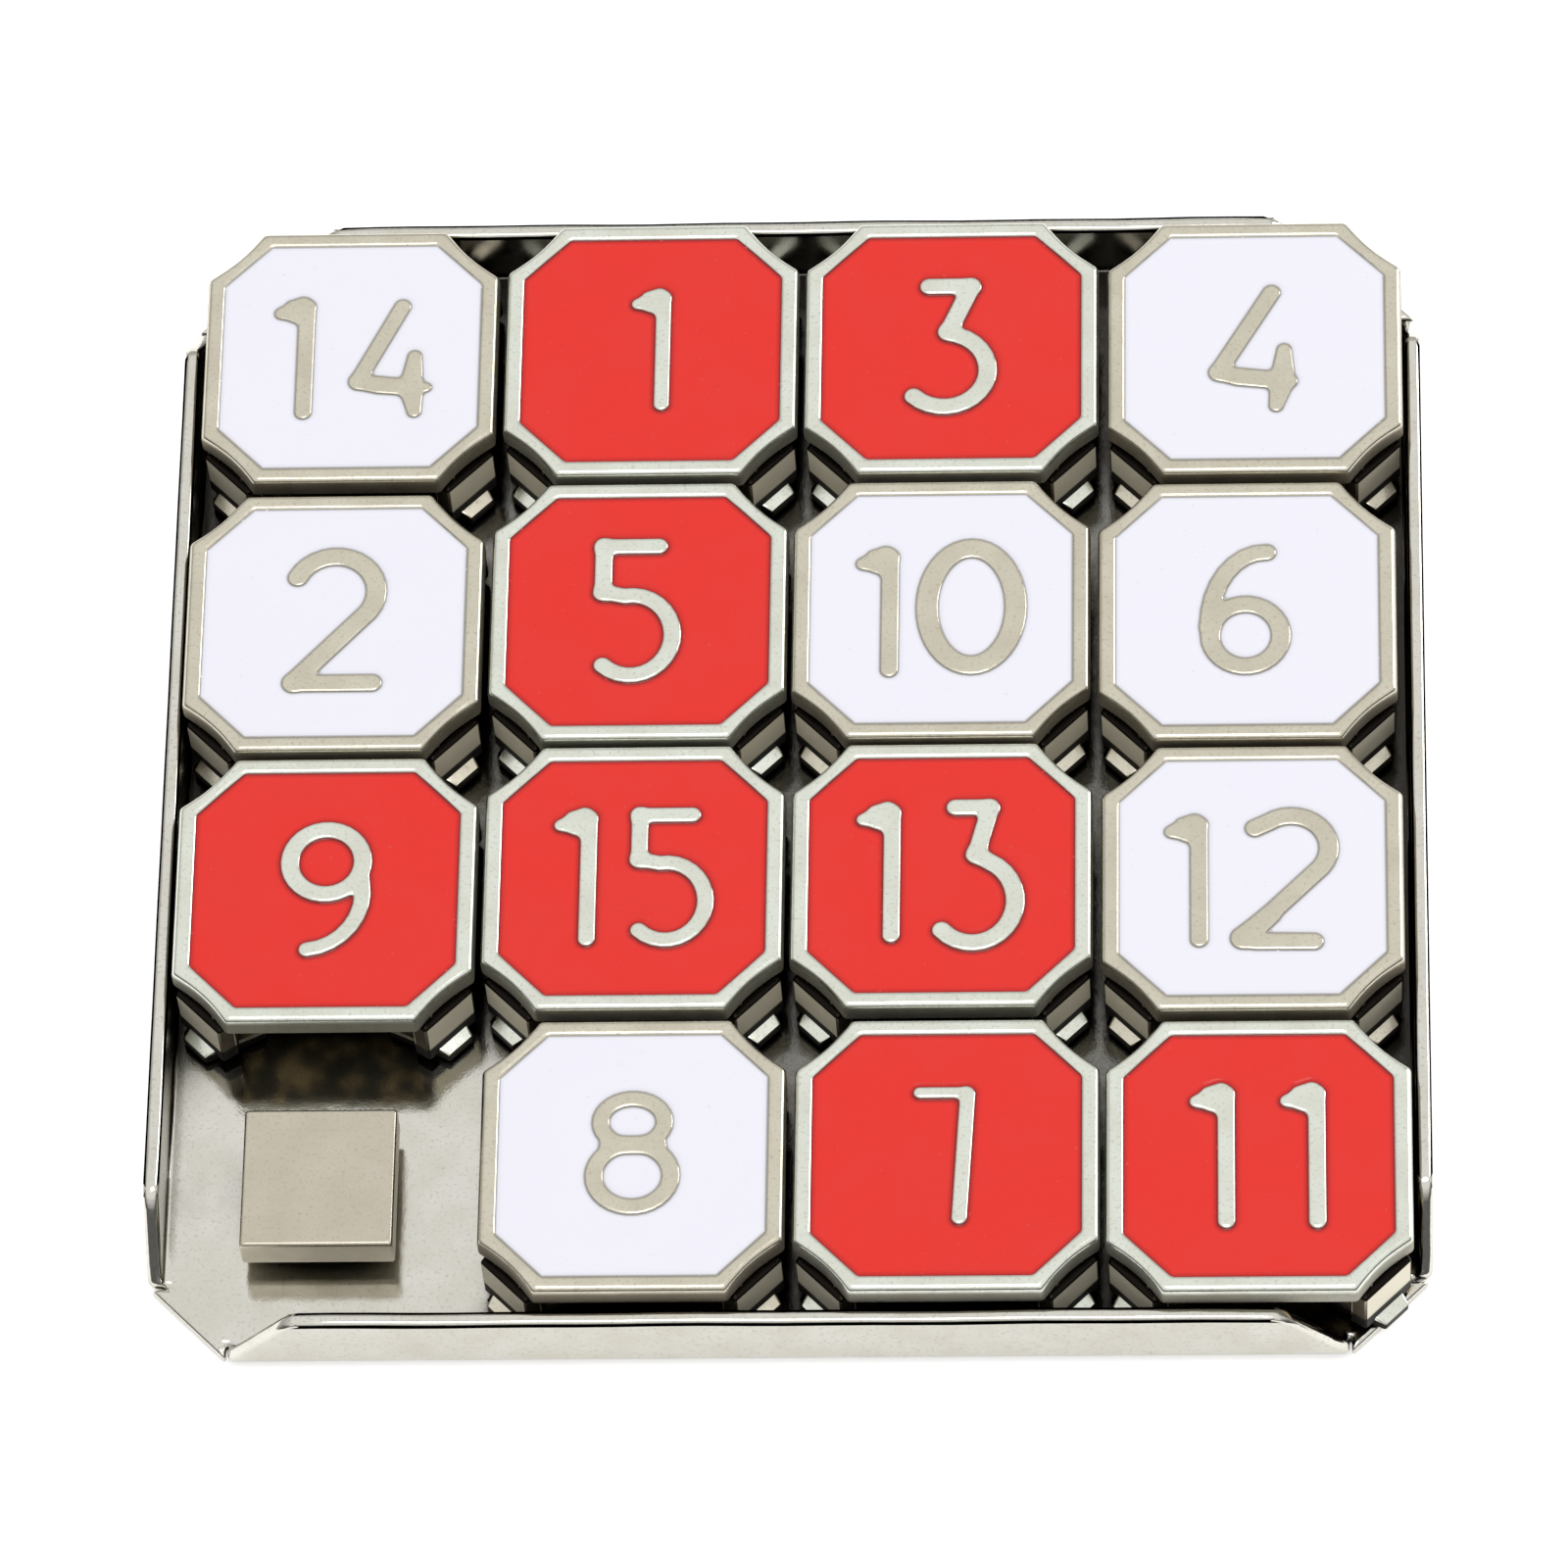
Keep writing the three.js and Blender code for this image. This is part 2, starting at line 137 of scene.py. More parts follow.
def inset(corners, distance):
    """A convex outline, counter-clockwise, moved inwards."""
    moved = []
    for i, corner in enumerate(corners):
        here = Vector(corner)
        into = (here - Vector(corners[i - 1])).normalized()
        out = (Vector(corners[(i + 1) % len(corners)]) - here).normalized()
        middle = Vector((-into.y - out.y, into.x + out.x))
        moved.append(tuple(here + middle * (2 * distance / middle.length_squared)))
    return moved


HOLLOW_STEPS = 8


def rounded(corners, radius, steps=4, hollow=0.0):
    """A convex outline with rounded corners. Every second side of an octagon can be hollow."""
    arcs = []
    for i, corner in enumerate(corners):
        here = Vector(corner)
        into = (here - Vector(corners[i - 1])).normalized()
        out = (Vector(corners[(i + 1) % len(corners)]) - here).normalized()
        turn = into.angle_signed(out) * -1
        middle = here - into * radius * tan(turn / 2) + Vector((-into.y, into.x)) * radius
        start = atan2(-into.x, into.y)
        arcs.append([
            (middle.x + radius * cos(start + turn * k / steps),
             middle.y + radius * sin(start + turn * k / steps))
            for k in range(steps + 1)
        ])
    points = []
    for i, arc_points in enumerate(arcs):
        points += arc_points
        if i % 2 == 0 and len(corners) == 8:
            a = Vector(arc_points[-1])
            b = Vector(arcs[(i + 1) % len(arcs)][0])
            inwards = Vector((a.y - b.y, b.x - a.x)).normalized()
            for k in range(1, HOLLOW_STEPS):
                share = k / HOLLOW_STEPS
                points.append(tuple(a.lerp(b, share) + inwards * hollow * sin(pi * share)))
    return points


def cut_square(half, chamfer):
    """The corners of a square with its corners cut off, starting at a cut."""
    flat = half - chamfer
    return [
        (half, flat), (flat, half), (-flat, half), (-half, flat),
        (-half, -flat), (-flat, -half), (flat, -half), (half, -flat),
    ]


def square(half):
    return [(half, -half), (half, half), (-half, half), (-half, -half)]


def arc(cx, cy, rx, ry, start, end, step=12):
    """Points along an ellipse, from one angle to another in degrees."""
    count = max(2, round(abs(end - start) / step))
    angles = [radians(start + (end - start) * k / count) for k in range(count + 1)]
    return [(cx + rx * cos(a), cy + ry * sin(a)) for a in angles]


def turned(points, degrees):
    c, s = cos(radians(degrees)), sin(radians(degrees))
    return [(x * c - y * s, x * s + y * c) for x, y in points]


# ---- meshes ---------------------------------------------------------------------


def level(outline, z):
    return [(x, y, z) for x, y in outline]


def loft(rings):
    """A closed solid through rings of equally many points, from the first to the last."""
    count = len(rings[0])
    points = [point for ring in rings for point in ring]
    faces = [list(range(count))[::-1]]
    for r in range(len(rings) - 1):
        for i in range(count):
            a, b = r * count + i, r * count + (i + 1) % count
            faces.append([a, b, b + count, a + count])
    faces.append([(len(rings) - 1) * count + i for i in range(count)])
    return points, faces


def make(name, points, faces):
    mesh = bpy.data.meshes.new(name)
    mesh.from_pydata([(x * MM, y * MM, z * MM) for x, y, z in points], [], faces)
    mesh.validate()
    mesh.update()
    piece = bpy.data.objects.new(name, mesh)
    bpy.context.scene.collection.objects.link(piece)
    return piece


def copy_of(piece, name):
    copy = bpy.data.objects.new(name, piece.data.copy())
    bpy.context.scene.collection.objects.link(copy)
    return copy


def move_over(piece, node):
    """Moves a mesh made over the origin to a CAD node's place."""
    piece.data.transform(Matrix.Translation(Vector((*centre(node), 0)) * MM))


def settle(piece):
    """Applies a piece's modifiers to its mesh."""
    bpy.context.view_layer.update()
    graph = bpy.context.evaluated_depsgraph_get()
    mesh = bpy.data.meshes.new_from_object(piece.evaluated_get(graph))
    piece.modifiers.clear()
    old = piece.data
    piece.data = mesh
    bpy.data.meshes.remove(old)
    mesh.name = piece.name


def combine(piece, tools, operation):
    """Joins tools to a piece or cuts them from it, and removes the tools."""
    for tool in tools:
        modifier = piece.modifiers.new("combine", "BOOLEAN")
        modifier.operation = operation
        modifier.solver = "MANIFOLD"
        modifier.object = tool
    settle(piece)
    for tool in tools:
        bpy.data.meshes.remove(tool.data)


def smooth(piece, sharp_angle=38):
    """Smooth shading between faces that meet gently, with flat faces kept flat."""
    piece.data.shade_smooth()
    piece.data.set_sharp_from_angle(angle=radians(sharp_angle))
    weighted = piece.modifiers.new("normals", "WEIGHTED_NORMAL")
    weighted.keep_sharp = True


def finish_piece(piece, material, body, node):
    """Gives a piece its material and ties it to the frame, in place of a CAD node."""
    piece.data.materials.clear()
    piece.data.materials.append(material)
    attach(piece, body)
    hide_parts(node)


# ---- numerals -------------------------------------------------------------------

# A stroke is a line of points and its half width, or a half width at each point. Numerals that
# share a tile with another are cut a little differently.
NUMERALS = {
    "0": [(arc(0, 0, 2.27, 3.45, 0, 360, 9), 0.55)],
    "1": [
        ([(0, 3.3), (0, -3.54)], 0.46),
        ([(-1.44, 2.95), (-0.8, 3.3), (-0.25, 3.5), (-0.1, 3.4)], [0.3, 0.5, 0.5, 0.45]),
        ([(-1.44, 2.93), (-0.7, 2.75), (-0.15, 2.5)], [0.3, 0.42, 0.35]),
    ],
    "2": [
        (arc(0, 1.55, 2, 1.96, 155, -35) + [(-1.85, -3.42)], 0.48),
        ([(-1.8, -3.5), (1.95, -3.5)], 0.46),
    ],
    "wide 2": [
        ([(-1.42, 2.85)] + arc(0.35, 1.72, 1.87, 1.8, 125, -38) + [(-2.05, -3.35)], 0.48),
        ([(-0.7, -2.1), (-2.05, -3.3), (-1.4, -3.5), (1.45, -3.54)], [0.42, 0.58, 0.48, 0.46]),
    ],
    "3": [
        ([(-1.13, 3.54), (0.96, 3.54)], 0.51),
        ([(0.96, 3.45), (-0.15, 0.85)], 0.51),
        ([(-0.15, 0.85)] + arc(-0.33, -1.4, 2.17, 2.14, 60, -135), 0.51),
    ],
    "narrow 3": [
        ([(-1.07, 3.54), (0.5, 3.54)], 0.46),
        ([(0.52, 3.45), (-0.1, 1.05)], 0.46),
        ([(-0.1, 1.05)] + arc(-0.25, -1.38, 1.97, 2.2, 55, -136), 0.48),
    ],
    "4": [
        ([(0.94, 3.52), (-1.95, -1.45)], 0.47),
        ([(-1.9, -1.55), (-0.9, -1.78), (1.4, -2.05)], [0.48, 0.56, 0.55]),
        ([(1.4, -2.05), (2, -2.1)], [0.5, 0.28]),
        ([(1.6, -0.1), (1.5, -2), (1.15, -3.62)], [0.38, 0.68, 0.38]),
    ],
    "upright 4": [
        ([(0.54, 3.5), (-1.9, -1.5)], 0.47),
        ([(-1.85, -1.6), (-0.7, -1.8), (1.2, -2)], [0.5, 0.58, 0.55]),
        ([(1.2, -2), (2.08, -2)], [0.5, 0.3]),
        ([(1.35, 0.1), (1.2, -2), (1.42, -3.6)], [0.4, 0.7, 0.4]),
    ],
    "5": [
        ([(0.97, 3.54), (-1.66, 3.54)], 0.46),
        ([(-1.66, 3.54), (-1.66, 1.02)], 0.46),
        ([(-1.66, 1.02)] + arc(-0.28, -1.36, 1.98, 2.19, 100, -132), 0.46),
    ],
    "6": [(arc(1.08, -1, 2.95, 4.42, 88, 180), 0.48), (arc(0.05, -1.61, 1.86, 1.88, 0, 360), 0.5)],
    "7": [([(-1.25, 3.62), (1.1, 3.62)], 0.37), ([(1.2, 3.5), (0.82, -3.56)], 0.44)],
    "8": [
        (arc(-0.1, 2, 1.84, 1.5, 0, 360), 0.48),
        (arc(-0.05, -1.46, 2.22, 2, 0, 360), 0.5),
        ([(-1.6, 0.5), (1.5, 0.5)], 0.3),
    ],
    "9": [(arc(-1.1, -0.3, 3.04, 3.25, 12, -85), 0.47), (arc(0, 1.6, 1.9, 1.9, 0, 360), 0.52)],
}

# Each tile's enamel, then its numerals: which, where from the tile's middle, and how tall.
TILES = {
    1: ("red", [("1", 0.6, 0.02, 7.7)]),
    2: ("white", [("2", 0, 0.13, 8.75)]),
    3: ("red", [("3", 0, 0.04, 8.45)]),
    4: ("white", [("4", 0, -0.09, 7.85)]),
    5: ("red", [("5", -0.06, 0, 8.8)]),
    6: ("white", [("6", -0.13, 0.05, 7.95)]),
    7: ("red", [("7", -0.14, -0.08, 7.95)]),
    8: ("white", [("8", 0.08, 0.1, 7.1)]),
    9: ("red", [("9", 0, 0, 8)]),
    10: ("white", [("1", -2.68, -0.17, 7.9), ("0", 1.59, 0.07, 8.2)]),
    11: ("red", [("1", -1.65, -0.03, 8.4), ("1", 2.96, -0.05, 8.45)]),
    12: ("white", [("1", -2.75, -0.18, 7.8), ("wide 2", 1.63, -0.12, 8.35)]),
    13: ("red", [("1", -2.57, 0.16, 8.4), ("narrow 3", 1.9, -0.03, 8.95)]),
    14: ("white", [("1", -2.42, -0.06, 7.6), ("upright 4", 2.19, -0.14, 7.35)]),
    15: ("red", [("1", -2.35, 0.05, 8.25), ("5", 2, -0.03, 8.3)]),
}

STROKE_WEIGHT = {"red": -0.04, "white": 0.0}    # how much wider the strokes are cut, each side
STROKE_BLEND = 0.3                               # fillet where strokes meet
FAR = 99.0                                       # a distance beyond any tile


def stroke_distance(x, y, points, half):
    """Signed distance to a stroke's outline, negative inside it."""
    halves = half if isinstance(half, list) else [half] * len(points)
    nearest = np.full(np.shape(x), np.inf)
    for (ax, ay), (bx, by), ha, hb in zip(points, points[1:], halves, halves[1:]):
        dx, dy = bx - ax, by - ay
        along = np.clip(((x - ax) * dx + (y - ay) * dy) / (dx * dx + dy * dy), 0, 1)
        gap = np.hypot(x - ax - along * dx, y - ay - along * dy) - (ha + along * (hb - ha))
        nearest = np.minimum(nearest, gap)
    return nearest


def blend_distances(a, b, reach):
    share = np.clip(0.5 + 0.5 * (b - a) / reach, 0, 1)
    return b + (a - b) * share - reach * share * (1 - share)


def numeral_distance(tile, x, y):
    """Signed distance to a tile's numeral, negative on its metal."""
    colour, numerals = TILES[tile]
    whole = np.full(np.shape(x), FAR)
    for numeral, right, up, height in numerals:
        scale = height / NUMERAL_HEIGHT
        for points, half in NUMERALS[numeral]:
            local = stroke_distance((x - right) / scale, (y - up) / scale, points, half) * scale
            whole = blend_distances(whole, local, STROKE_BLEND)
    return whole - STROKE_WEIGHT[colour]


def edge_distance(x, y):
    """Distance inwards from the edge of the enamelled field."""
    half = TILE_HALF - RIM_WIDTH
    x, y = np.abs(x), np.abs(y)
    corner = (2 * half - FIELD_CHAMFER - x - y) / sqrt(2)
    return np.minimum(np.minimum(half - x, half - y), corner)


# ---- the tops of the tiles ------------------------------------------------------

SAMPLE = 0.12                                       # grid on which distances are sampled
METAL_LEVELS = [-0.015, -0.05, -0.1, -0.17, -0.26, -0.38]    # distances with points of their own
ENAMEL_LEVELS = [0.03, 0.07, 0.13, 0.22, 0.34, 0.48, 0.64, 0.85]
OPEN_SPACING = 0.8                                  # grid of points away from any edge
MERGE = 1e-5                                        # points this close become one


def contour(values, at, xs, ys):
    """Where sampled values cross a level: points, and the pairs of points to join."""
    above = values > at
    points, index, pairs = [], {}, []

    def crossing(j, i, dj, di):
        key = (j, i, dj)
        if key not in index:
            a, b = values[j, i], values[j + dj, i + di]
            t = (at - a) / (b - a)
            index[key] = len(points)
            points.append((xs[i] + t * di * SAMPLE, ys[j] + t * dj * SAMPLE))
        return index[key]

    mixed = (above[:-1, :-1].astype(int) + above[1:, :-1] + above[:-1, 1:] + above[1:, 1:]) % 4 != 0
    for j, i in zip(*np.nonzero(mixed)):
        corners = [above[j, i], above[j, i + 1], above[j + 1, i + 1], above[j + 1, i]]
        sides = [(j, i, 0, 1), (j, i + 1, 1, 0), (j + 1, i, 0, 1), (j, i, 1, 0)]
        hit = [crossing(*sides[k]) for k in range(4) if corners[k] != corners[(k + 1) % 4]]
        if len(hit) == 4:
            middle = values[j:j + 2, i:i + 2].mean() > at
            if middle != corners[0]:
                hit = hit[3:] + hit[:3]
        pairs += [(hit[k], hit[k + 1]) for k in range(0, len(hit), 2)]
    return points, pairs


def divide_field(tile):
    """Divides the field inside the rim into triangles that follow the numeral's outline."""
    half = TILE_HALF - RIM_WIDTH
    outline = rim_outline(1)
    points = list(outline)
    edges = [(i, (i + 1) % len(points)) for i in range(len(points))]

    def include(new_points, new_edges):
        start = len(points)
        points.extend(new_points)
        edges.extend((a + start, b + start) for a, b in new_edges)

    xs = ys = np.arange(-half, half + SAMPLE, SAMPLE)
    values = numeral_distance(tile, *np.meshgrid(xs, ys))
    for at in METAL_LEVELS + [0.0] + ENAMEL_LEVELS:
        include(*contour(values, at, xs, ys))
    for distance in ENAMEL_LEVELS:
        ring = rounded(inset(cut_square(half, FIELD_CHAMFER), distance), FIELD_ROUND)
        include(ring, [(i, (i + 1) % len(ring)) for i in range(len(ring))])

    coarse = np.arange(-half, half, OPEN_SPACING)
    gx, gy = [g.ravel() for g in np.meshgrid(coarse, coarse)]
    clear = ENAMEL_LEVELS[-1] + OPEN_SPACING / 3
    free = (numeral_distance(tile, gx, gy) > clear) & (edge_distance(gx, gy) > clear)
    include(list(zip(gx[free], gy[free])), [])

    flat, _, faces, *_ = delaunay_2d_cdt([Vector(p) for p in points], edges, [], 0, MERGE)
    return np.array([tuple(p) for p in flat]), np.array(faces)


def raised(flat, faces, top, bottom):
    """A closed solid over some triangles, from one height to a height at each point."""
    used = np.unique(faces)
    place = np.full(len(flat), -1)
    place[used] = np.arange(len(used))
    faces = place[faces]
    count = len(used)
    points = [(x, y, z) for (x, y), z in zip(flat[used], top[used])]
    points += [(x, y, bottom) for x, y in flat[used]]
    whole = {(a, b) for f in faces.tolist() for a, b in zip(f, f[1:] + f[:1])}
    walls = [[a, a + count, b + count, b] for a, b in sorted(whole) if (b, a) not in whole]
    floor = [[c + count, b + count, a + count] for a, b, c in faces.tolist()]
    return points, faces.tolist() + floor + walls


def parts_of(faces):
    """Splits triangles into groups that hang together, biggest first."""
    owner = {}

    def root(v):
        while owner.setdefault(v, v) != v:
            owner[v] = owner[owner[v]]
            v = owner[v]
        return v

    for a, b, c in faces.tolist():
        owner[root(a)] = root(b)
        owner[root(b)] = root(c)
    groups = {}
    for face in faces.tolist():
        groups.setdefault(root(face[0]), []).append(face)
    return [np.array(g) for g in sorted(groups.values(), key=len, reverse=True)]


# How a numeral's top is crowned: the width and drop of its rounded edge, and its camber.
NUMERAL_CROWN = {"red": (0.18, 0.08, 0.025), "white": (0.18, 0.06, 0.015)}
CAMBER_REACH = 0.25


def metal_height(colour, distance):
    """Height of a numeral's crowned top below the tile's top, at a distance from its edge."""
    round_width, round_drop, camber = NUMERAL_CROWN[colour]
    inside = np.clip(-distance, 0, None)
    edge = np.clip(1 - inside / round_width, 0, 1)
    rounding = round_drop * (1 - np.sqrt(np.clip(1 - edge ** 2, 0, 1)))
    return -rounding - camber * np.exp(-inside / CAMBER_REACH)


# How enamel lies: its level below the rim, how far it climbs the metal, and how deep and how
# far out the shallow trough along the metal is.
ENAMEL_LIE = {
    "red": {"level": 0.12, "climb": 0.03, "trough": 0.07, "reach": 0.5},
    "white": {"level": 0.08, "climb": 0.015, "trough": 0.025, "reach": 0.35},
}
CLIMB_REACH = 0.05
RIM_TROUGH = 0.7                 # how deep the trough along the rim is, as a share


def enamel_height(colour, numeral, edge):
    lie = ENAMEL_LIE[colour]
    height = np.full(len(numeral), -lie["level"])
    for distance, share in ((numeral, 1.0), (edge, RIM_TROUGH)):
        away = np.clip(distance, 0, None)
        ease = np.clip(away / lie["reach"], 0, 1)
        height -= share * lie["trough"] * (1 - ease * ease * (3 - 2 * ease))
        height += lie["climb"] * np.exp(-away / CLIMB_REACH)
    return height


# ---- tiles ----------------------------------------------------------------------


def rim_outline(share):
    """The tile's outline, from its outer edge (0) to the edge of the enamelled field (1)."""
    half = TILE_HALF - RIM_WIDTH * share
    chamfer = TILE_CHAMFER + (FIELD_CHAMFER - TILE_CHAMFER) * share
    radius = VERTEX_ROUND + (FIELD_ROUND - VERTEX_ROUND) * share
    return rounded(cut_square(half, chamfer), radius, hollow=CHAMFER_HOLLOW * (1 - share))


# The rim's section, as shares of its width and heights below the tile's top.
RIM_SECTION = [
    (0.0, 0.5), (0.012, 0.36), (0.05, 0.23), (0.11, 0.13), (0.19, 0.06), (0.29, 0.02),
    (0.4, 0.003), (0.5, 0.0), (0.7, 0.0), (0.8, 0.008), (0.88, 0.025), (0.95, 0.05), (1.0, 0.09),
]


def plate():
    """A tile's top plate, with its rim and the recess for the enamel."""
    bottom = TILE_TOP - PLATE_THICKNESS
    rings = [
        level(rim_outline(CAST_EDGE / RIM_WIDTH), bottom),
        level(rim_outline(0), bottom + CAST_EDGE),
    ]
    rings += [level(rim_outline(share), TILE_TOP - drop) for share, drop in RIM_SECTION]
    rings.append(level(rim_outline(1), TILE_TOP - FIELD_DEPTH))
    return loft(rings)


def foot_prism(quarter):
    """A flat foot whose top slopes down towards the corner of its tile."""
    flat = FOOT_HALF - FOOT_CHAMFER
    straight = SLOT_HALF + SLOT_LEAD
    whole = [
        (SLOT_HALF, SLOT_HALF), (straight, SLOT_HALF), (FOOT_HALF, flat),
        (flat, FOOT_HALF), (SLOT_HALF, straight),
    ]
    crest = list(whole)
    for tip, root in ((2, 1), (3, 4)):
        crest[tip] = tuple(Vector(whole[tip]).lerp(Vector(whole[root]), FOOT_LEAN))
    top = FOOT_BOTTOM + FOOT_THICKNESS
    rings = [(whole, CAST_EDGE * (1 - sin(a)), FOOT_BOTTOM + CAST_EDGE * (1 - cos(a)))
             for a in (0, radians(30), radians(60), radians(90))]
    rings += [
        (whole, 0, top - FOOT_DROP - FOOT_EDGE),
        (whole, FOOT_EDGE_BACK[0], top - FOOT_DROP),
        (crest, FOOT_EDGE_BACK[1], top),
    ]
    return loft([level(rounded(inset(turned(outline, quarter), back), CAST_EDGE), z)
                 for outline, back, z in rings])


def leg_prism(quarter):
    """A leg that stops under the plate, with a narrower neck that reaches into it."""
    side = TILE_HALF - LEG_SETBACK
    flat = TILE_HALF - LEG_CHAMFER
    outline = turned([
        (LEG_INNER, LEG_INNER), (LEG_OUTER, LEG_INNER), (side, flat),
        (flat, side), (LEG_INNER, LEG_OUTER),
    ], quarter)
    underside = TILE_TOP - PLATE_THICKNESS
    rings = [(0, FOOT_BOTTOM + FOOT_THICKNESS - OVERLAP)]
    rings += [(back, underside + z) for back, z in LEG_SHOULDER]
    rings.append((LEG_NECK, underside + OVERLAP))
    return loft([level(rounded(inset(outline, back), CAST_EDGE), z) for back, z in rings])


def blank_casting():
    """A tile's casting without its numeral, over the middle of the tray."""
    base = make("blank_casting", *plate())
    hooks = []
    for quarter in (0, 90, 180, 270):
        hooks += [make("foot", *foot_prism(quarter)), make("leg", *leg_prism(quarter))]
    combine(base, hooks, "UNION")
    return base


def make_tile(number, blank, metals, enamels):
    colour = TILES[number][0]
    body = f"tile_{number}"
    flat, faces = divide_field(number)
    numeral = numeral_distance(number, flat[:, 0], flat[:, 1])
    edge = edge_distance(flat[:, 0], flat[:, 1])
    middles = flat[faces].mean(axis=1)
    within = edge_distance(middles[:, 0], middles[:, 1]) > 0
    on_metal = numeral_distance(number, middles[:, 0], middles[:, 1]) < 0

    casting = copy_of(blank, f"casting_{number}")
    top = TILE_TOP + metal_height(colour, numeral)
    solids = [make("numeral", *raised(flat, group, top, TILE_TOP - FIELD_DEPTH - OVERLAP))
              for group in parts_of(faces[within & on_metal])]
    combine(casting, solids, "UNION")
    smooth(casting)
    move_over(casting, body)
    finish_piece(casting, metals[colour], body, body)

    top = TILE_TOP + enamel_height(colour, numeral, edge)
    groups = parts_of(faces[within & ~on_metal])
    islands = sorted(groups[1:], key=lambda group: -flat[group][..., 1].mean())
    names = [f"enamel_{number}"]
    if len(islands) == 1:
        names.append(f"enamel_{number}_island")
    else:
        names += [f"enamel_{number}_island_{k + 1}" for k in range(len(islands))]
    for name, group in zip(names, [groups[0]] + islands):
        enamel = make(f"{colour}_{name}", *raised(flat, group, top, TILE_TOP - FIELD_DEPTH))
        used = np.unique(group)
        nearness = np.minimum(numeral, edge)[used]
        layer = enamel.data.attributes.new("from_metal", "FLOAT", "POINT")
        layer.data.foreach_set("value", np.tile(nearness, 2).astype(np.float32))
        smooth(enamel)
        move_over(enamel, body)
        finish_piece(enamel, enamels[colour], body, name)


# ---- studs and tray -------------------------------------------------------------


def stud_rings():
    """A stud from its riveted end up: half width, corner radius and height of each ring."""
    edge = CAP_EDGE
    rings = [
        (RIVET_RADIUS, RIVET_RADIUS, RIVET_BOTTOM), (RIVET_RADIUS, RIVET_RADIUS, SHEET),
        (STEM_HALF, CAP_CORNER, SHEET), (STEM_HALF, CAP_CORNER, CAP_UNDER),
        (CAP_HALF - edge, CAP_CORNER, CAP_UNDER),
    ]
    quarter = [radians(a) for a in (0, 22.5, 45, 67.5, 90)]
    rings += [(CAP_HALF - edge * (1 - sin(a)), CAP_CORNER, CAP_UNDER + edge * (1 - cos(a)))
              for a in quarter[1:]]
    rings += [(CAP_HALF - edge * (1 - cos(a)), CAP_CORNER, CAP_TOP - edge * (1 - sin(a)))
              for a in quarter]
    return [level(rounded(square(half), radius * NEARLY, steps=6), z) for half, radius, z in rings]


def make_studs(material):
    shape = make("stud", *loft(stud_rings()))
    for node in STUDS:
        stud = copy_of(shape, f"t_{node}")
        smooth(stud)
        move_over(stud, node)
        finish_piece(stud, material, "tray", node)
    bpy.data.meshes.remove(shape.data)


def uneven(along):
    """A smooth unevenness between 0 and 1."""
    return (2 + sin(along * 0.31) + sin(along * 0.73 + 2)) / 4


def tray_sheet():
    """The middle surface of the folded sheet: a floor and four walls."""
    fold = TRAY_HALF - BEND_RADIUS
    end = TRAY_HALF - TRAY_CHAMFER
    middle = SHEET / 2
    bend = BEND_RADIUS - middle
    points, faces, floor = [], [], []
    fold_arc = arc(fold, BEND_RADIUS, bend, bend, -90, 0, 15)
    section = [(fold, middle)] + fold_arc[1:]
    wall, base = section[-1]
    section += [(wall, base + (WALL_TOP - base) * share) for share in WALL_ROWS]
    for quarter in (0, 90, 180, 270):
        start = len(points)
        for out, z in section:
            slope = max(0.0, z - SHEET) / (WALL_TOP - SHEET)
            half = end - (end - WALL_TOP_HALF) * slope
            half -= WALL_CORNER_ROUND * max(0.0, 1 - (WALL_TOP - z) / WALL_CORNER_ROUND) ** 3
            line = [(half * (2 * k / WALL_COLUMNS - 1), -out) for k in range(WALL_COLUMNS + 1)]
            dips = [WALL_DIP * slope * uneven(x + quarter) for x, _ in line]
            points += [(x, y, z - dip) for (x, y), dip in zip(turned(line, quarter), dips)]
        width = WALL_COLUMNS + 1
        for r in range(len(section) - 1):
            for k in range(WALL_COLUMNS):
                a = start + r * width + k
                faces.append([a, a + width, a + 1 + width, a + 1])
        floor += list(range(start, start + width))
        near = end + RELIEF
        far = TRAY_HALF + end - near
        corner = [(near, -fold), (near, -far), (far, -near), (fold, -near)]
        floor += list(range(len(points), len(points) + len(corner)))
        points += [(x, y, middle) for x, y in turned(corner, quarter)]
    faces.append(floor)
    return points, faces


def make_tray(material):
    tray = make("tray_sheet", *tray_sheet())
    thick = tray.modifiers.new("thickness", "SOLIDIFY")
    thick.thickness = SHEET * MM
    thick.offset = 0
    thick.use_even_offset = True
    edges = tray.modifiers.new("edges", "BEVEL")
    edges.width = EDGE_ROUND * MM
    edges.segments = 5
    edges.limit_method = "ANGLE"
    edges.angle_limit = radians(50)
    edges.use_clamp_overlap = False
    settle(tray)
    drills = []
    for node in STUDS:
        circle = arc(*centre(node), RIVET_HOLE, RIVET_HOLE, 0, 360, 15)[:-1]
        drills.append(make("drill", *loft([level(circle, -1), level(circle, SHEET + 1)])))
    combine(tray, drills, "DIFFERENCE")
    smooth(tray)
    finish_piece(tray, material, "tray", "tray")


# ---- materials ------------------------------------------------------------------


def add(tree, kind, inputs=None, **settings):
    """A shader node. Inputs are values or the sockets that feed them."""
    made = tree.nodes.new("ShaderNode" + kind)
    for key, value in settings.items():
        setattr(made, key, value)
    for key, value in (inputs or {}).items():
        if isinstance(value, bpy.types.NodeSocket):
            tree.links.new(value, made.inputs[key])
        else:
            made.inputs[key].default_value = value
    return made


def new_material(name):
    material = bpy.data.materials.new(name)
    material.use_nodes = True
    tree = material.node_tree
    tree.nodes.clear()
    place = add(tree, "TexCoord").outputs["Object"]
    in_mm = add(tree, "VectorMath", {0: place, 1: (1 / MM,) * 3}, operation="MULTIPLY").outputs[0]
    return material, tree, in_mm


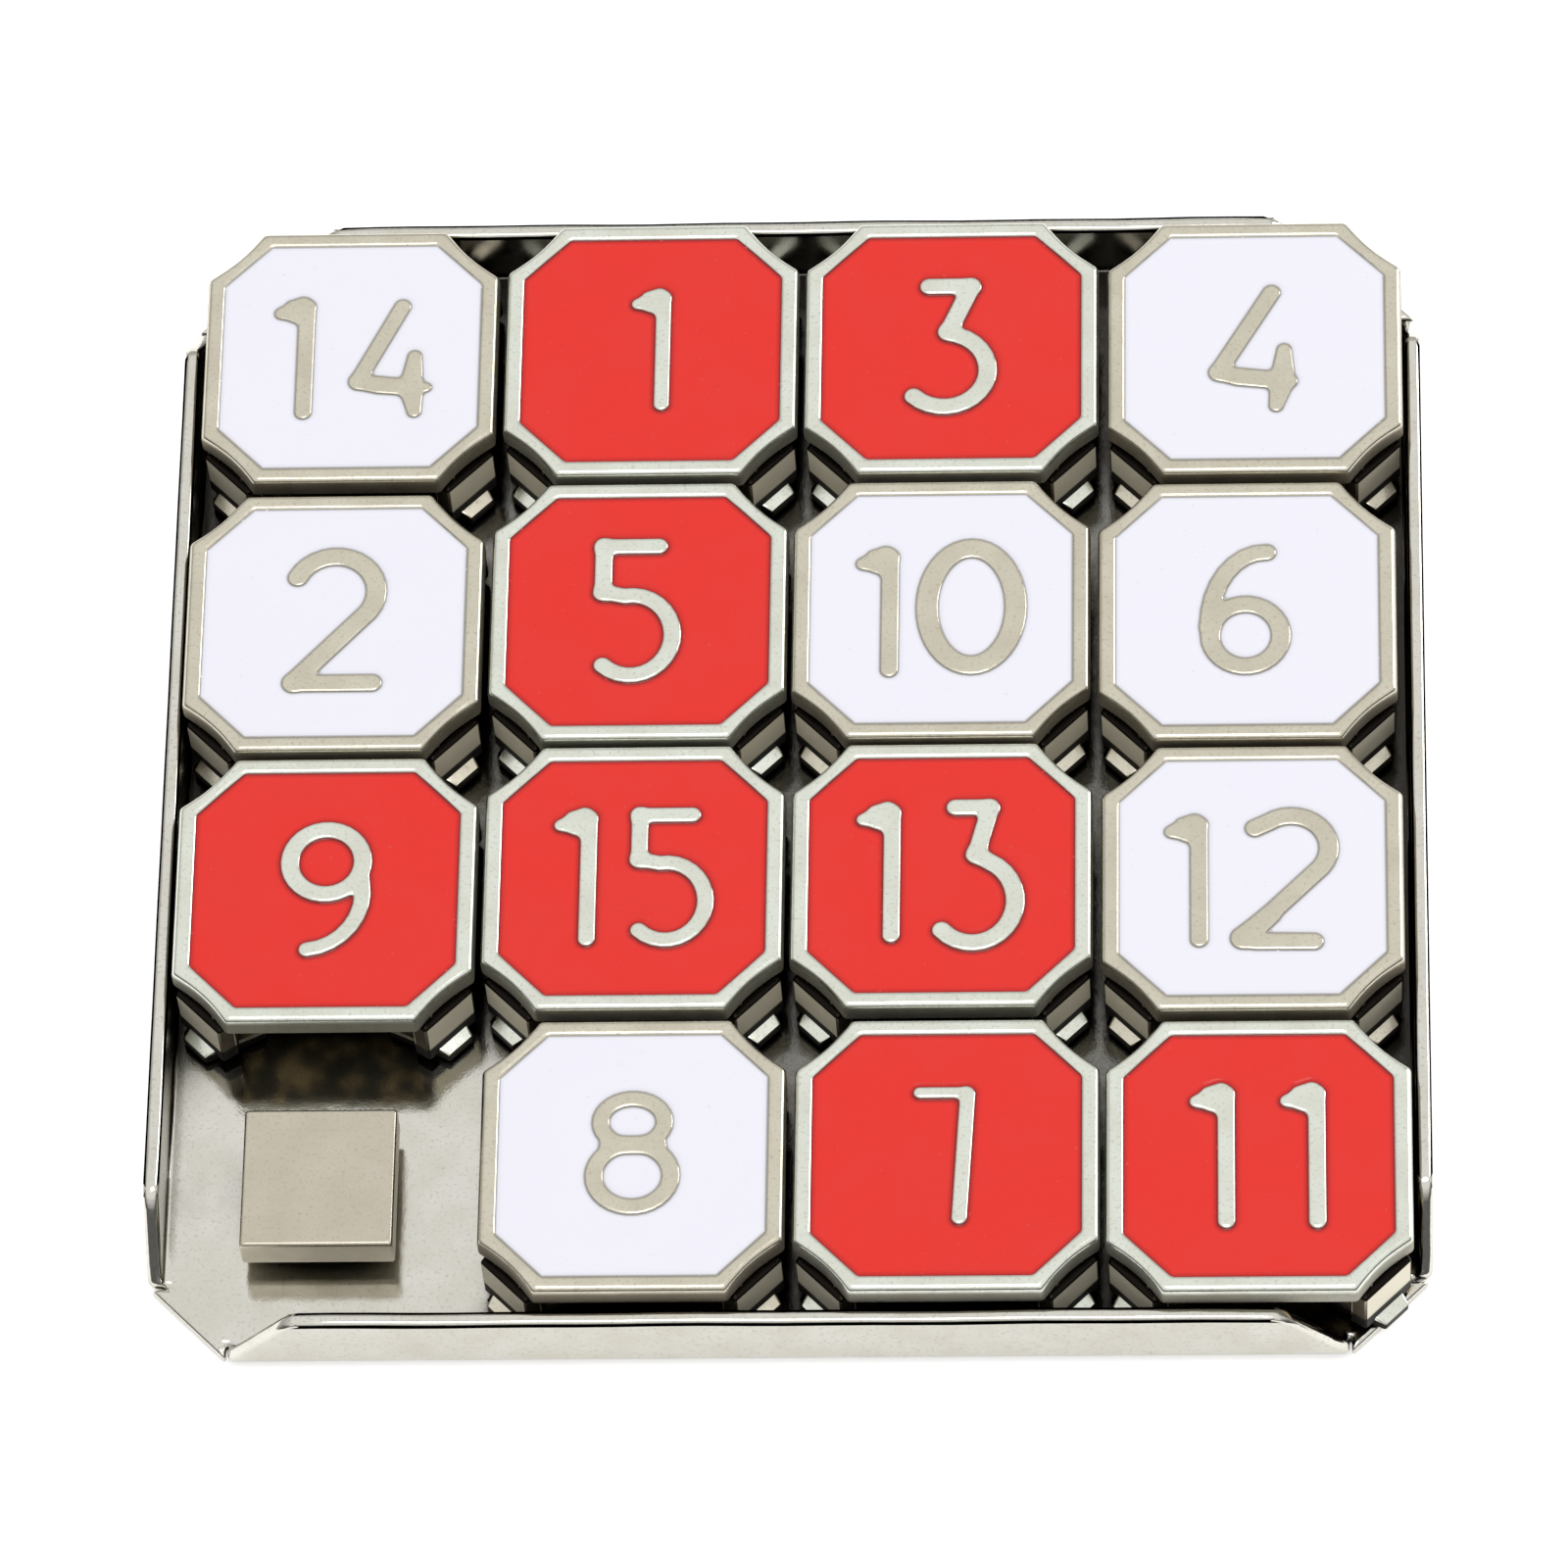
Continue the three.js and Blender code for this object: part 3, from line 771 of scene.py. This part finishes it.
def noise(tree, where, scale, detail=3.0, rough=0.55):
    made = add(tree, "TexNoise", {"Vector": where, "Scale": scale, "Detail": detail, "Roughness": rough})
    return made.outputs["Fac"]


def spread(tree, value, low, high, out_low=0.0, out_high=1.0):
    made = add(tree, "MapRange", {
        "Value": value, "From Min": low, "From Max": high, "To Min": out_low, "To Max": out_high,
    })
    return made.outputs["Result"]


def mix(tree, share, a, b):
    return add(tree, "Mix", {0: share, 6: a, 7: b}, data_type="RGBA").outputs[2]


def times(tree, a, b):
    return add(tree, "Math", {0: a, 1: b}, operation="MULTIPLY").outputs[0]


def plus(tree, a, b):
    return add(tree, "Math", {0: a, 1: b}, operation="ADD").outputs[0]


def bump(tree, height, depth, below=None):
    inputs = {"Height": height, "Strength": 1.0, "Distance": depth * MM}
    if below:
        inputs["Normal"] = below
    return add(tree, "Bump", inputs).outputs["Normal"]


def output(tree, shader):
    add(tree, "OutputMaterial", {"Surface": shader})


def rgb(red, green, blue):
    return (red, green, blue, 1.0)


# black, used as painted shade on the metals
BLACK = rgb(0.012, 0.01, 0.008)
# painted shade below a tile's plate
UNDER_PLATE_SHADE = rgb(0.1, 0.08, 0.055)
# painted shade on the upright faces of the tray and tiles
BROWN = rgb(0.16, 0.125, 0.085)
# painted light on the legs' corner faces
TAN = rgb(0.8, 0.75, 0.61)
# painted golden glints
GLINT_GOLD = rgb(0.9, 0.7, 0.42)
CORNER_FACE = (0.465, 0.49)      # |x * y| of a normal: 0.5 across a corner, 0 along a side
FEET_SHADE = (2.3, 2.5)          # heights over which the dark at the feet fades up the legs
LEDGE_SHADE = (4.42, 4.5, 4.62, 4.8)    # and over which the dark under the plate comes and goes


def plated_metal(
        name, tint, stain, smoothness, grain_depth, wave_depth, gloom, side_tone, side=BROWN):
    """Nickel plating over a casting or a sheet: faint stains, fine grain and slow waves.

    Painted shade darkens sheltered spots down to black: the shelter values are how far around a
    point counts as its shelter, and the shares of open sky at which that shade is darkest and gone.
    The side values are how dull upright faces are and how much side colour is painted on them:
    painted shade where that colour is dark, painted light where it is pale.
    """
    material, tree, where = new_material(name)
    cloud = spread(tree, noise(tree, where, 0.45, 4), 0.35, 0.68)
    fleck = spread(tree, noise(tree, where, 5.0, 2), 0.55, 0.75)
    colour = mix(tree, cloud, tint, stain)
    colour = mix(tree, fleck, colour, tuple(c * 0.86 for c in stain[:3]) + (1.0,))
    facing = add(tree, "SeparateXYZ", {"Vector": add(tree, "NewGeometry").outputs["Normal"]}).outputs
    upright = spread(tree, facing["Z"], 0.1, 0.5, 1.0, 0.0)
    # upright faces take on the side colour: painted shade when it is dark, painted light when it is pale
    colour = mix(tree, times(tree, upright, side_tone), colour, side)
    # painted shade: darker, down to black, where little open sky reaches
    open_sky = add(tree, "AmbientOcclusion", {"Distance": gloom[0] * MM}, samples=16).outputs["AO"]
    shade = spread(tree, open_sky, *gloom[1:], 0.97, 0.0)
    shade = times(tree, shade, spread(tree, upright, 0, 1, 1, 0.4))
    colour = mix(tree, shade, colour, BLACK)
    rough = spread(tree, noise(tree, where, 1.1, 5), 0.3, 0.7, *smoothness)
    rough = plus(tree, times(tree, upright, 0.8 * side_tone), rough)
    waves = bump(tree, noise(tree, where, 0.55, 2), wave_depth)
    grain = bump(tree, noise(tree, where, 9.0, 3), grain_depth, waves)
    shader = add(tree, "BsdfPrincipled", {
        "Base Color": colour, "Metallic": 1.0, "Roughness": rough, "Normal": grain,
    })
    output(tree, shader.outputs["BSDF"])
    return material, tree, where, facing, upright, shader


def cast_metal(**settings):
    """Plated metal for the tiles, with painted light and shade on the legs: painted light across
    their corners, painted shade below the plate and at the feet, painted golden glints downwards.
    """
    material, tree, where, facing, upright, shader = plated_metal(**settings)
    plated_colour = shader.inputs["Base Color"].links[0].from_socket
    height = add(tree, "SeparateXYZ", {"Vector": where}).outputs["Z"]
    xy = times(tree, facing["X"], facing["Y"])
    across = add(tree, "Math", {0: xy}, operation="ABSOLUTE").outputs[0]
    # painted shade: dark brown on the upright faces below the plate
    shade_below_plate = times(tree, upright, spread(tree, height, *LEDGE_SHADE[1:3], 1.0, 0.0))
    # painted light: tan across the legs' corner faces
    lit_corner = times(tree, shade_below_plate, spread(tree, across, *CORNER_FACE))
    downward = spread(tree, facing["Z"], -0.5, -0.2, 1.0, 0.0)
    # painted golden glints, in patches on downward faces
    gold_glint = times(tree, downward, spread(tree, noise(tree, where, 0.6), 0.45, 0.6))
    colour = mix(tree, shade_below_plate, plated_colour, UNDER_PLATE_SHADE)
    colour = mix(tree, lit_corner, colour, TAN)
    colour = mix(tree, gold_glint, colour, GLINT_GOLD)
    # painted shade: black on the upright faces at the feet
    foot_dark = times(tree, upright, spread(tree, height, *FEET_SHADE, 1.0, 0.0))
    # painted shade: black in a band just under the plate
    ledge_in = spread(tree, height, *LEDGE_SHADE[:2])
    ledge_out = spread(tree, height, *LEDGE_SHADE[2:], 1.0, 0.0)
    not_downward = spread(tree, facing["Z"], -0.3, -0.1)
    ledge_dark = times(tree, times(tree, ledge_in, ledge_out), not_downward)
    for shade in (foot_dark, ledge_dark):
        colour = mix(tree, shade, colour, BLACK)
    tree.links.new(colour, shader.inputs["Base Color"])
    # less metallic where the painted light and glints lie, so they catch more light
    metallic = spread(tree, plus(tree, lit_corner, gold_glint), 0, 1, 1, 0.25)
    tree.links.new(metallic, shader.inputs["Metallic"])
    return material


METAL_SHADE_REACH = 0.3                 # how far from the metal the painted shade on the enamel reaches
SEAM_REACH = (0.04, 0.12)        # and over what distance the dark seam there fades


def enamel(name, body, metal_shade, seam, streak, dirt, gloss):
    """Glassy enamel with painted shade along the metal, a dark seam there, slow waves and dust."""
    material, tree, where = new_material(name)
    away = add(tree, "Attribute", attribute_name="from_metal").outputs["Fac"]
    cloud = spread(tree, noise(tree, where, 0.22, 2), 0.35, 0.65)
    colour = mix(tree, cloud, body, streak)
    # painted shade on the enamel along the metal
    colour = mix(tree, spread(tree, away, 0.0, METAL_SHADE_REACH, 0.85, 0.0), colour, metal_shade)
    colour = mix(tree, spread(tree, away, *SEAM_REACH, 0.75, 0.0), colour, seam)
    dust = spread(tree, noise(tree, where, 3.2, 1), 0.72, 0.8)
    colour = mix(tree, dust, colour, dirt)
    rough = spread(tree, noise(tree, where, 1.6, 3), 0.3, 0.7, 0.08, 0.14)
    peel = bump(tree, noise(tree, where, 0.25, 1), 0.01)
    shader = add(tree, "BsdfPrincipled", {
        "Base Color": colour, "Roughness": rough, "Normal": peel, "Specular IOR Level": gloss,
    })
    output(tree, shader.outputs["BSDF"])
    return material


def table_material():
    """A pale table, clear when it is seen from below."""
    material, tree, where = new_material("pale_table")
    grain = noise(tree, where, 0.05, 3)
    colour = mix(tree, grain, rgb(0.93, 0.93, 0.93), rgb(0.96, 0.96, 0.955))
    shader = add(tree, "BsdfPrincipled", {
        "Base Color": colour, "Roughness": 0.9, "Specular IOR Level": 0.1,
        "Emission Color": rgb(1.0, 1.0, 1.0), "Emission Strength": 0.5,
    })
    from_below = add(tree, "NewGeometry").outputs["Backfacing"]
    clear = add(tree, "BsdfTransparent").outputs[0]
    either = add(tree, "MixShader", {0: from_below, 1: shader.outputs["BSDF"], 2: clear})
    output(tree, either.outputs[0])
    return material


# ---- stage ----------------------------------------------------------------------

TABLE_HALF = 1500
TABLE_DROP = 0.02                # keeps the table clear of the tray's underside


def make_table():
    table = make("table", level(square(TABLE_HALF), -TABLE_DROP), [[0, 1, 2, 3]])
    table.data.materials.append(table_material())


def sky():
    """Soft white light from above that falls off towards a room, darkest on the player's side."""
    world = bpy.data.worlds.new("studio")
    bpy.context.scene.world = world
    world.use_nodes = True
    tree = world.node_tree
    tree.nodes.clear()
    towards = add(tree, "TexCoord").outputs["Generated"]
    axes = add(tree, "SeparateXYZ", {"Vector": towards}).outputs
    room = spread(tree, axes["Y"], -0.35, 0.3, 0.14, 0.55)
    light = spread(tree, axes["Z"], 0.34, 0.74, room, 1.0)
    background = add(tree, "Background", {"Color": rgb(1.0, 0.995, 0.985), "Strength": light})
    add(tree, "OutputWorld", {"Surface": background.outputs["Background"]})


def softbox(name, azimuth, elevation, distance, size, power):
    """A square light aimed at the puzzle. Azimuth 0 is on the player's side."""
    light = bpy.data.lights.new(name, "AREA")
    light.shape = "SQUARE"
    light.size = size
    light.energy = power
    lamp = bpy.data.objects.new(name, light)
    bpy.context.scene.collection.objects.link(lamp)
    away = direction(azimuth, elevation)
    lamp.location = away * distance
    lamp.rotation_euler = away.to_track_quat("Z", "Y").to_euler()


def direction(azimuth, elevation):
    a, e = radians(azimuth), radians(elevation)
    return Vector((sin(a) * cos(e), -cos(a) * cos(e), sin(e)))


CAMERA_AZIMUTH = 5.81
CAMERA_ELEVATION = 60.66
CAMERA_ROLL = -5.62
CAMERA_DISTANCE = 549
CAMERA_TARGET = (-0.39, -2.36, 6.0)
CAMERA_LENS = 243
SENSOR = 36


def make_camera():
    data = bpy.data.cameras.new("camera")
    data.sensor_width = SENSOR
    data.lens = CAMERA_LENS
    data.clip_start = 0.01
    camera = bpy.data.objects.new("camera", data)
    bpy.context.scene.collection.objects.link(camera)
    back = direction(CAMERA_AZIMUTH, CAMERA_ELEVATION)
    right = Vector((0, 0, 1)).cross(back).normalized()
    up = back.cross(right)
    roll = radians(CAMERA_ROLL)
    turned_right = right * cos(roll) + up * sin(roll)
    turned_up = up * cos(roll) - right * sin(roll)
    place = (Vector(CAMERA_TARGET) + back * CAMERA_DISTANCE) * MM
    camera.matrix_world = Matrix((
        (turned_right.x, turned_up.x, back.x, place.x),
        (turned_right.y, turned_up.y, back.y, place.y),
        (turned_right.z, turned_up.z, back.z, place.z),
        (0, 0, 0, 1),
    ))
    bpy.context.scene.camera = camera


# ---- the scene ------------------------------------------------------------------

# Each plated metal is painted darker where it is sheltered, as painted shade, and painted in its side
# colour on upright faces.
tray_nickel = plated_metal(
    name="tray_nickel", tint=rgb(0.68, 0.67, 0.62), stain=rgb(0.62, 0.6, 0.53),
    smoothness=(0.05, 0.12), grain_depth=0.004, wave_depth=0.02,
    gloom=(6.0, 0.33, 0.5), side_tone=0.18)[0]
# The studs' pale side colour is painted light on their upright faces.
stud_nickel = plated_metal(
    name="stud_nickel", tint=rgb(0.565, 0.52, 0.43), stain=rgb(0.525, 0.48, 0.39),
    smoothness=(0.2, 0.3), grain_depth=0.004, wave_depth=0.01,
    gloom=(2.0, 0.1, 0.35), side_tone=0.45, side=rgb(1.0, 0.95, 0.84))[0]
castings = {
    "red": cast_metal(
        name="cool_nickel", tint=rgb(0.74, 0.77, 0.69), stain=rgb(0.68, 0.69, 0.61),
        smoothness=(0.12, 0.24), grain_depth=0.003, wave_depth=0.02,
        gloom=(3.0, 0.1, 0.34), side_tone=0.6),
    "white": cast_metal(
        name="warm_nickel", tint=rgb(0.64, 0.605, 0.5), stain=rgb(0.575, 0.535, 0.435),
        smoothness=(0.14, 0.26), grain_depth=0.003, wave_depth=0.02,
        gloom=(3.0, 0.1, 0.34), side_tone=0.6),
}
# Each enamel's darker colour along the metal is painted shade.
enamels = {
    "red": enamel(
        name="red_enamel", body=rgb(0.83, 0.018, 0.01), metal_shade=rgb(0.42, 0.002, 0.002),
        seam=rgb(0.25, 0.004, 0.003), streak=rgb(0.81, 0.023, 0.014),
        dirt=rgb(0.78, 0.05, 0.04), gloss=0.4),
    "white": enamel(
        name="white_enamel", body=rgb(0.89, 0.885, 0.98), metal_shade=rgb(0.76, 0.76, 0.83),
        seam=rgb(0.28, 0.27, 0.24), streak=rgb(0.895, 0.89, 0.98),
        dirt=rgb(0.81, 0.8, 0.86), gloss=0.5),
}

blank = blank_casting()
for number in TILES:
    make_tile(number, blank, castings, enamels)
bpy.data.meshes.remove(blank.data)
make_studs(stud_nickel)
make_tray(tray_nickel)

make_table()
sky()
softbox("overhead", azimuth=20, elevation=84, distance=0.9, size=0.35, power=1.1)
softbox("side", azimuth=118, elevation=18, distance=0.7, size=0.3, power=1.2)
make_camera()
bpy.context.scene.view_settings.view_transform = "Standard"
